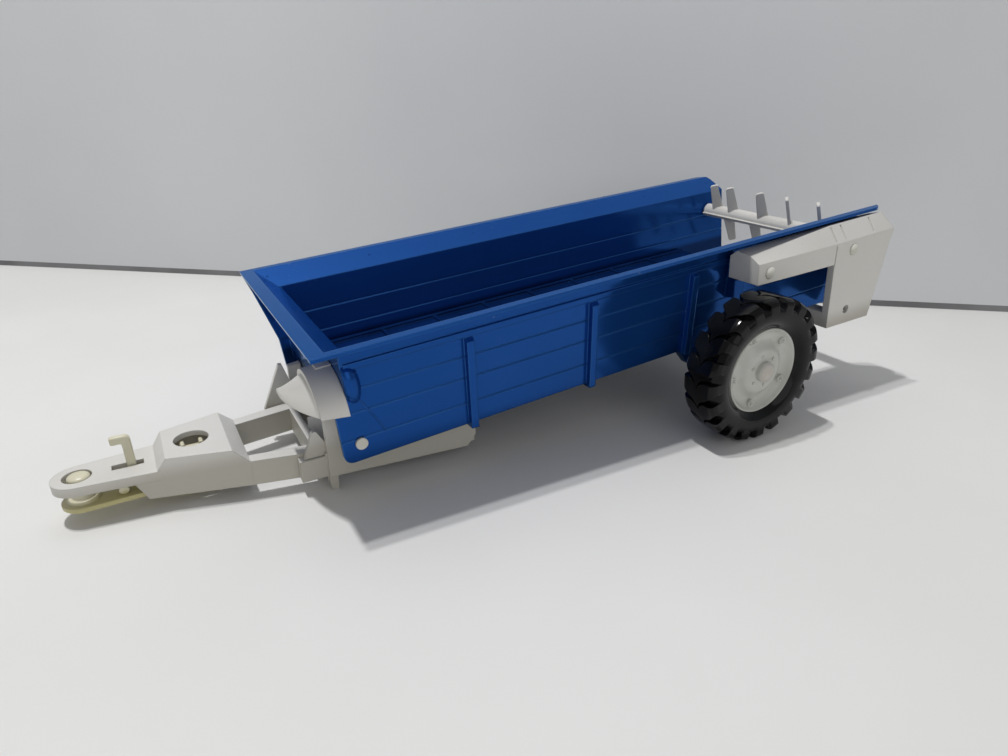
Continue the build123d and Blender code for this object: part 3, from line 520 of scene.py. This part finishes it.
# ---------------------------------------------------------------- tyres
LUGS = 20
GROOVE_START = 48.0             # degrees round the wheel of one chevron's point
GROOVE_HALF = 0.9               # half width of a groove's floor in the middle, in degrees
GROOVE_GROWTH = 2.9             # and what it gains towards the shoulder
GROOVE_GROWS = (0.45, 0.98)     # shares of the half width between which it gains it
GROOVE_WALL = (0.45, 0.5)       # a groove wall's degrees in the middle, and its growth
CHEVRON_POINT = 6               # degrees that a groove falls back near its point,
CHEVRON_SLOPE = 0.55            # for each mm from the middle,
CHEVRON_HOOK = 1.5              # and at the shoulder
TREAD_ROWS = 26                 # mesh rows from the middle to the sidewall
TREAD_SPREAD = 0.85             # below 1, the rows lie closer at the shoulder
LUG_COLUMNS = (8, 3, 4, 3, 8)   # mesh columns on half a lug, a groove's wall, its floor, ...
SHOULDER = 6.4                  # the tread ends this far outside the bead
BEAD_GAP = 0.03                 # between the tyre's bead and the hub


def smooth(value, low, high):
    """0 below low, 1 above high and an S-curve between them."""
    share = np.clip((value - low) / (high - low), 0, 1)
    return share * share * (3 - 2 * share)


def chevron(v, edge):
    """Degrees by which a groove trails its point at distance v from the middle, edge wide."""
    return (CHEVRON_POINT * (1 - math.exp(-v)) + CHEVRON_SLOPE * v
            + CHEVRON_HOOK * (v / edge) ** 4)


def along(points, share):
    """The point at a share (0 to 1) of the length of a polyline of (r, v) points."""
    points = np.array(points, float)
    steps = np.hypot(*np.diff(points, axis=0).T)
    lengths = np.concatenate([[0], np.cumsum(steps)])
    return [np.interp(share * lengths[-1], lengths, points[:, k]) for k in (0, 1)]


def lug_columns(share):
    """Degrees and height (0 to 1) of the columns of one lug pitch, groove in the middle."""
    half = 180 / LUGS
    flat = GROOVE_HALF + GROOVE_GROWTH * float(smooth(share, *GROOVE_GROWS))
    wall = flat + GROOVE_WALL[0] + GROOVE_WALL[1] * share
    stops = (-half, -wall, -flat, flat, wall, half)
    levels = (1, 1, 0, 0, 1, 1)
    phase, height = [], []
    for i, count in enumerate(LUG_COLUMNS):
        for k in range(count):
            part = k / count
            phase.append(stops[i] + part * (stops[i + 1] - stops[i]))
            height.append(levels[i] + part * (levels[i + 1] - levels[i]))
    return np.array(phase), smooth(np.array(height), 0, 1)


def make_tyre(side, body):
    """Chevron-lugged tyre inside the CAD tyre's box: side is 1 for left, -1 for right."""
    wheel = body.split("_")[0]
    low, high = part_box(f"{wheel}_tyre")
    radius = (high.z - low.z) / 2 / MM
    half = (high.y - low.y) / 2 / MM
    mid = (high.y + low.y) / 2
    hub_low, hub_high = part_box(f"{wheel}_hub")
    bead = (hub_high.z - hub_low.z) / 2 / MM + BEAD_GAP
    join = (bead + SHOULDER, half)
    crown = [(radius, 0), (radius - 0.05, half - 2.2), (radius - 0.35, half - 1.2),
             (radius - 1.1, half - 0.35), (radius - 2.6, half), join]
    floor = [(radius - 1.9, 0), (radius - 2.2, half - 2.6), (radius - 3.0, half - 1.2),
             (radius - 3.9, half - 0.35), join]
    side_wall = [(bead + 5.0, half), (bead + 3.2, half - 0.25), (bead + 1.8, half - 0.85),
                 (bead + 0.9, half - 1.6), (bead, half - 2.2)]
    shares = [(i / TREAD_ROWS) ** TREAD_SPREAD for i in range(TREAD_ROWS + 1)]
    rows = [(along(crown, share), along(floor, share)) for share in shares]
    rows += [(p, p) for p in side_wall]
    columns = LUGS * sum(LUG_COLUMNS)
    start = np.repeat(np.arange(LUGS) * 360 / LUGS, sum(LUG_COLUMNS))
    rings = []
    for way in (1, -1):
        for k, (top, base) in enumerate(rows):
            if way < 0 and k == 0:
                continue
            v = min(top[1], half)
            phase, lift = lug_columns(v / half if k <= TREAD_ROWS else 1)
            phase, lift = np.tile(phase, LUGS), np.tile(lift, LUGS)
            if k > TREAD_ROWS:
                lift = np.ones(columns)
            r = base[0] + lift * (top[0] - base[0])
            w = base[1] + lift * (top[1] - base[1])
            angle = np.radians(GROOVE_START + start + phase + chevron(v, half))
            rings.append((way * k, np.stack([r * np.cos(angle), way * w, r * np.sin(angle)], 1)))
    rings.sort(key=lambda ring: ring[0])
    points = np.concatenate([ring for _, ring in rings])
    if side < 0:
        points[:, 1] *= -1
    points = points * MM + np.array((AXLE.x, mid, AXLE.z))
    faces = ring_faces(len(rings), columns, closed=True)
    tyre = mesh_object(f"{wheel}_ribbed_tyre", points, faces, 32)
    if side > 0:
        tyre.data.flip_normals()
    finish(tyre, "black_vinyl", body, [f"{wheel}_tyre"])


# ---------------------------------------------------------------- hubs
# Profiles are (radius, height over the hub's face).
HUB_STEPS = 120
HUB_PROUD = 2.6                 # the cap's room over the hub's face
HUB_BORE = 2.06
HUB_HOLLOW = (6.0, 13.4, -6.3)  # inner and outer radius of the hollow back, and its floor
HUB_REAR_STEP = 0.8             # the rim stops this much short of the middle at the back
BOLTS = 5
BOLT_START = -8.8               # degrees
BOLT_RING = 13.1
BOLT_BASE = -1.55
SLOT_START, SLOT_STEP = 0.6, 0.9                # radians, so that each slot points its own way
NUT = ((1.50, -1.2), (1.50, 0.22), (1.38, 0.36), (0.92, 0.36), (0.84, 0.24))
SLOT_HEAD_R = 0.78
SLOT_HALF = 0.17
SLOT_HEAD = (-0.30, 0.62)       # bottom and top of the two halves of a bolt's slotted head
STUDS = 6
STUD_START = 16.2               # degrees
STUD_RING = 5.7
STUD = ((0.62, -0.6), (0.62, -0.02), (0.50, 0.12), (0.25, 0.19))
HUB_FRONT = ((15.88, -0.45), (15.80, -0.15), (15.60, 0.0), (15.35, 0.02), (15.10, -0.20),
             (14.75, -0.80), (14.2, -1.50), (13.4, -2.05), (12.4, -2.38), (11.5, -2.45),
             (10.7, -2.30), (9.9, -1.85), (9.3, -1.32), (8.8, -0.85), (8.3, -0.55),
             (7.8, -0.32), (7.0, -0.26), (5.8, -0.24), (3.92, -0.22), (3.75, -0.10),
             (3.72, 1.25), (3.64, 1.48), (3.48, 1.58), (3.0, 1.60))    # from rim to boss
CAP = ((3.32, 1.50), (3.30, 1.72), (3.18, 1.88), (2.65, 2.12), (2.0, 2.32), (1.25, 2.45),
       (0.5, 2.50))


def place_wheel_piece(parts, name, side, face, smooth_angle):
    """A mesh object from wheel parts: y is out from the hub's face, side is 1 for left."""
    points = [(AXLE.x + x * MM, side * (face + y * MM), AXLE.z + z * MM)
              for x, y, z in parts.points]
    return closed_object(name, points, parts.faces, smooth_angle)


def ring_places(count, start, radius, side):
    """Number, angle, x and z of the places round a ring, mirrored on the right wheel."""
    for i in range(count):
        t = math.radians(start + 360 / count * i)
        yield i, t, side * radius * math.cos(t), radius * math.sin(t)


def slotted_bolt(parts, x, z, turn):
    """Round nut on the hub's dish, and in it a bolt's head with a screwdriver slot."""
    parts.turned([(r, BOLT_BASE + y) for r, y in NUT], x, z, 20)
    slot = math.asin(SLOT_HALF / SLOT_HEAD_R)
    for way in (1, -1):
        outline = [(u, way * v) for u, v in
                   arc(0, 0, SLOT_HEAD_R, math.degrees(slot), 180 - math.degrees(slot), 10)]
        c, s = math.cos(turn), math.sin(turn)
        points = [(x + u * c - v * s, BOLT_BASE + y, z + u * s + v * c)
                  for y in SLOT_HEAD for u, v in outline]
        parts.add(points, ring_faces(2, len(outline)))


def make_hub(side, body):
    """Dished hub with slotted bolts, studs and a boss, and its cap: side is 1 for left."""
    wheel = body.split("_")[0]
    inner, out = sorted(abs(corner.y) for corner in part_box(f"{wheel}_hub"))
    face = out - HUB_PROUD * MM
    back = (inner - face) / MM
    rim_back = back + HUB_REAR_STEP
    hollow_in, hollow_out, hollow_floor = HUB_HOLLOW
    profile = [*HUB_FRONT, (HUB_BORE, HUB_FRONT[-1][1]), (HUB_BORE, back), (hollow_in, back),
               (hollow_in, hollow_floor), (hollow_out, hollow_floor), (hollow_out, rim_back),
               (HUB_FRONT[0][0], rim_back)]
    parts = Parts()
    parts.turned(profile, 0, 0, HUB_STEPS, closed=True)
    for i, t, x, z in ring_places(BOLTS, BOLT_START, BOLT_RING, side):
        slotted_bolt(parts, x, z, t + SLOT_STEP * i + SLOT_START)
    for _, _, x, z in ring_places(STUDS, STUD_START, STUD_RING, side):
        parts.turned(STUD, x, z, 14)
    hub = place_wheel_piece(parts, f"{wheel}_dished_hub", side, face, 40)
    finish(hub, "hub_plastic", body, [f"{wheel}_hub"])
    parts = Parts()
    parts.turned(CAP, 0, 0, 48)
    cap = place_wheel_piece(parts, f"{wheel}_hub_cap", side, face, 40)
    finish(cap, "hub_plastic", body, material=MATERIALS["hub_cap"])


# ---------------------------------------------------------------- small fittings of the box
NIB_X = (142.0, 102.6, 56.8, 10.8, -35.2, -75.0)     # mould marks on the right flare
NIB_Y, NIB_Z = -42.3, 40.45
NIB_R, NIB_HEIGHT = 0.55, 0.32
NIB_STEPS = 12
NIB_RINGS = (0.35, 0.7, 1.0)                         # shares of the radius, from the top down
NIB_SUNK = 0.15                                      # its edge's depth in the flare
FLARE_SLOPE = math.atan2(4.8, 10.2)                  # rise of the flare's inside
BRACE = ((137.2, 22.3), (133.6, 15.6), (130.0, 8.1)) # line at the front of the left panel
BRACE_WIDTH = 0.8
BRACE_SECTION = ((-1, -0.2), (-0.5, 0.28), (0.5, 0.28), (1, -0.2))   # half widths, and out
BEAD_CENTRE = (138.7, 36.85, 28.3)
BEAD_HALF_X, BEAD_HALF_Y = 3.1, 3.15
BEAD_UP, BEAD_DOWN = 5.0, 7.6
BEAD_TIP = 0.02                                      # share of its width at its two ends
BEAD_LEAN = 0.10
BEAD_STOP_X = 140.7                                  # the shroud starts ahead of this
BEAD_STEPS, BEAD_RINGS = 28, 18
PANEL_FOOT, PANEL_LEAN = 34.7, 3.3 / 37.2            # half width at axle height, and its growth


def make_nibs():
    """Row of small domed mould marks along the inside of the right flare."""
    across = Vector((1, 0, 0))
    up = Vector((0, -math.cos(FLARE_SLOPE), math.sin(FLARE_SLOPE)))
    out = up.cross(across)
    parts = Parts()
    for x in NIB_X:
        centre = Vector((x, NIB_Y, NIB_Z))
        points = [centre + out * NIB_HEIGHT]
        for share in NIB_RINGS:
            lift = NIB_HEIGHT * math.cos(share * math.pi / 2) if share < 1 else -NIB_SUNK
            points += [centre + (across * math.cos(t) + up * math.sin(t)) * NIB_R * share
                       + out * lift for t in ring_angles(NIB_STEPS)]
        faces = [(0, 1 + j, 1 + (j + 1) % NIB_STEPS) for j in range(NIB_STEPS)]
        tube = ring_faces(len(NIB_RINGS), NIB_STEPS)
        tube.pop(-2)            # its top is closed by the fan above, not by a cap
        faces += [tuple(1 + k for k in face) for face in tube]
        parts.add([at(*p) for p in points], faces)
    nibs = closed_object("flare_nibs", parts.points, parts.faces, 60)
    finish(nibs, "blue_enamel", "chassis")


def make_bead():
    """Long smooth swelling of the left panel behind the corner shroud."""
    x0, y0, z0 = BEAD_CENTRE
    points = []
    for i in range(BEAD_RINGS + 1):
        turn = math.pi * i / BEAD_RINGS
        reach = max(math.sin(turn), BEAD_TIP)
        rise = math.cos(turn) * (BEAD_UP if math.cos(turn) > 0 else BEAD_DOWN)
        for t in ring_angles(BEAD_STEPS):
            x = x0 + rise * BEAD_LEAN + BEAD_HALF_X * reach * math.cos(t)
            y = y0 + BEAD_HALF_Y * reach * math.sin(t)
            points.append(at(min(x, BEAD_STOP_X), y, z0 + rise))
    bead = closed_object("panel_bead", points, ring_faces(BEAD_RINGS + 1, BEAD_STEPS), 60)
    finish(bead, "blue_enamel", "chassis")


def make_brace():
    """Low ridge that closes off the planks at the front of the left side panel."""
    points = []
    for i, (x, z) in enumerate(BRACE):
        x0, z0 = BRACE[max(i - 1, 0)]
        x1, z1 = BRACE[min(i + 1, len(BRACE) - 1)]
        half = BRACE_WIDTH / 2 / math.hypot(x1 - x0, z1 - z0)
        side_x, side_z = -(z1 - z0) * half, (x1 - x0) * half
        y = PANEL_FOOT + PANEL_LEAN * z
        points += [at(x + side_x * k, y + high, z + side_z * k) for k, high in BRACE_SECTION]
    faces = ring_faces(len(BRACE), len(BRACE_SECTION))
    brace = closed_object("panel_brace", points, faces, 50)
    finish(brace, "blue_enamel", "chassis")


# ---------------------------------------------------------------- hitch latch
BAR_CORNER = (198.3, -5.3)      # level x and z of the point that the drawbar is raised about
BAR_RISE = math.radians(4.4)
# The numbers below are in the drawbar's own frame, where w is the height.
PLATE_TOP = 1.6
PLATE_HALF, PLATE_REAR_HALF = 6.2, 5.7
PLATE_TIP_X, PLATE_REAR_X = 221.4, 179.0
PIN_X = 215.25
PIN_HEAD = 9.35
PIN_PROFILE = ((4.7, 0.8), (4.6, 2.1), (4.35, 2.5), (3.9, 2.62), (3.3, 2.7), (3.08, 3.1),
               (3.08, 6.6), (3.2, 7.1), (3.2, PIN_HEAD - 0.55), (3.05, PIN_HEAD - 0.2),
               (2.6, PIN_HEAD + 0.15), (1.9, PIN_HEAD + 0.4), (1.0, PIN_HEAD + 0.55),
               (0.3, PIN_HEAD + 0.6))                # (radius, w), from the collar up
LEVER_X = 200.9                 # middle of the lever's stem
LEVER_HALF_X, LEVER_HALF_Y = 1.3, 0.95               # half its thickness and width
LEVER_TOP, LEVER_TIP_X = 19.3, 205.2
LEVER_BEND_OUT, LEVER_BEND_IN = 1.6, 0.5             # radii of its bend
LEVER_FOOT = 0.6
SPRING_X, SPRING_W, SPRING_R = 204.4, 3.2, 1.5       # roll at the foot of the jaw
SPRING_HALF = 4.5
SPRING_STEM = ((-1.5, 0.4), (1.5, 0.4), (1.2, 4.0), (-1.2, 4.0))
SPRING_STEM_HALF = 1.2
PRONG_X = 183.5
PRONG = ((1.7, 0.4), (3.3, 0.4), (3.5, 11.3), (3.1, 12.1), (2.2, 12.1), (1.9, 10.8))
PRONG_HALF = 1.5
PRONG_BAR = ((-2.2, 9.4), (2.2, 9.4), (2.2, 10.7), (-2.2, 10.7))
PRONG_BAR_HALF = 0.9
SHARP_ANGLE = 0.5               # radians between two faces whose shared edge is rounded
ROUND_SEGMENTS = 3


def on_bar(x, y, w):
    """A point of the drawbar's own frame in the row frame."""
    dx = x - BAR_CORNER[0]
    c, s = math.cos(BAR_RISE), math.sin(BAR_RISE)
    return at(BAR_CORNER[0] + dx * c - w * s, y, BAR_CORNER[1] + dx * s + w * c)


def rounded_prism(outline, low, high, axis, radius):
    """Points and faces of a prism along y or w, with all its edges rounded."""
    shape = bmesh.new()
    if axis == "y":
        verts = [shape.verts.new((x, low, w)) for x, w in outline]
        push = Vector((0, high - low, 0))
    else:
        verts = [shape.verts.new((x, y, low)) for x, y in outline]
        push = Vector((0, 0, high - low))
    base = shape.faces.new(verts)
    grown = bmesh.ops.extrude_face_region(shape, geom=[base])["geom"]
    top = [v for v in grown if isinstance(v, bmesh.types.BMVert)]
    bmesh.ops.translate(shape, verts=top, vec=push)
    bmesh.ops.recalc_face_normals(shape, faces=shape.faces)
    sharp = [e for e in shape.edges if e.calc_face_angle(0) > SHARP_ANGLE]
    bmesh.ops.bevel(shape, geom=sharp, offset=radius, segments=ROUND_SEGMENTS, profile=0.5,
                    affect="EDGES", clamp_overlap=True)
    shape.verts.index_update()
    points = [tuple(v.co) for v in shape.verts]
    faces = [tuple(v.index for v in f.verts) for f in shape.faces]
    shape.free()
    return points, faces


def shifted(outline, x):
    """An outline moved along x."""
    return [(x + dx, w) for dx, w in outline]


def make_latch():
    """Sprung lower jaw: round-nosed plate, collared pin, bent lever, spring foot, prongs."""
    parts = Parts()

    def add_prism(outline, half, radius):
        """A prism through the toy's middle plane, half its width on each side."""
        parts.add(*rounded_prism(outline, -half, half, "y", radius))

    plate = [(PLATE_REAR_X, -PLATE_REAR_HALF),
             *arc(PLATE_TIP_X - PLATE_HALF, 0, PLATE_HALF, -90, 90, 24),
             (PLATE_REAR_X, PLATE_REAR_HALF)]
    parts.add(*rounded_prism(plate, 0, PLATE_TOP, "w", 0.3))
    parts.turned_up(PIN_PROFILE, PIN_X, 0, 36)
    rear, front = LEVER_X - LEVER_HALF_X, LEVER_X + LEVER_HALF_X
    under = LEVER_TOP - 2 * LEVER_HALF_X
    lever = [(rear, LEVER_FOOT), (front, LEVER_FOOT),
             *arc(front + LEVER_BEND_IN, under - LEVER_BEND_IN, LEVER_BEND_IN, 180, 90, 4),
             (LEVER_TIP_X, under), (LEVER_TIP_X, LEVER_TOP),
             *arc(rear + LEVER_BEND_OUT, LEVER_TOP - LEVER_BEND_OUT, LEVER_BEND_OUT, 90, 180, 6)]
    add_prism(lever, LEVER_HALF_Y, 0.5)
    add_prism(arc(SPRING_X, SPRING_W, SPRING_R, 0, 345, 23), SPRING_HALF, 0.3)
    add_prism(shifted(SPRING_STEM, SPRING_X), SPRING_STEM_HALF, 0.25)
    for way in (1, -1):
        prong = shifted([(way * x, w) for x, w in PRONG], PRONG_X)
        add_prism(prong, PRONG_HALF, 0.3)
    add_prism(shifted(PRONG_BAR, PRONG_X), PRONG_BAR_HALF, 0.25)
    latch = closed_object("hitch_latch_moulding", [on_bar(*p) for p in parts.points],
                          parts.faces, 45)
    finish(latch, "cream_plastic", "chassis", ["hitch_latch"])


# ---------------------------------------------------------------- stage
WALL_FOOT = ((0.198, -0.3747), (-0.3127, 0.0342))    # two points of the board's foot
WALL_GAP = 0.0035               # the board stands this far off the floor, over a band of painted shade
STAGE_REACH = 2.5


def plain_sheet(name, corners, material):
    """A flat sheet with four corners."""
    sheet = mesh_object(name, corners, [(0, 1, 2, 3)])
    sheet.data.materials.append(material)
    return sheet


def make_stage():
    """Pale cloth floor, and behind the toy an upright board that stands just off the floor, over a band of painted
    shade.
    """
    r = STAGE_REACH
    first, second = (Vector((*foot, 0)) for foot in WALL_FOOT)
    way = (second - first).normalized()
    left, right = first - way * r, second + way * r
    gap, top = Vector((0, 0, WALL_GAP)), Vector((0, 0, r))
    cloth = plain_sheet("floor", [(-r, -r, 0), (r, -r, 0), (r, r, 0), (-r, r, 0)],
                        floor_cloth())
    board = plain_sheet("backdrop", [left + gap, right + gap, right + top, left + top],
                        wall_paint())
    # painted shade: a dark band under the board's lower edge
    shade_strip = plain_sheet("backdrop_gap", [left, right, right + gap, left + gap], wall_gap())


# ---------------------------------------------------------------- build
bpy.context.scene.view_settings.view_transform = "Standard"
make_camera()
make_world()
for lamp_name, lamp_y in LAMP_Y.items():
    make_lamp(lamp_name, (LAMP_X, lamp_y, LAMP_Z), LAMP_LOOKS_AT, LAMP_SIZE, LAMP_WATTS)
make_lamp("fill", FILL_AT, FILL_LOOKS_AT, FILL_SIZE, FILL_WATTS)
make_stage()
paint_frame()
for wheel_side, wheel_body in ((1, "left_wheel"), (-1, "right_wheel")):
    make_tyre(wheel_side, wheel_body)
    make_hub(wheel_side, wheel_body)
make_nibs()
make_brace()
make_bead()
make_latch()
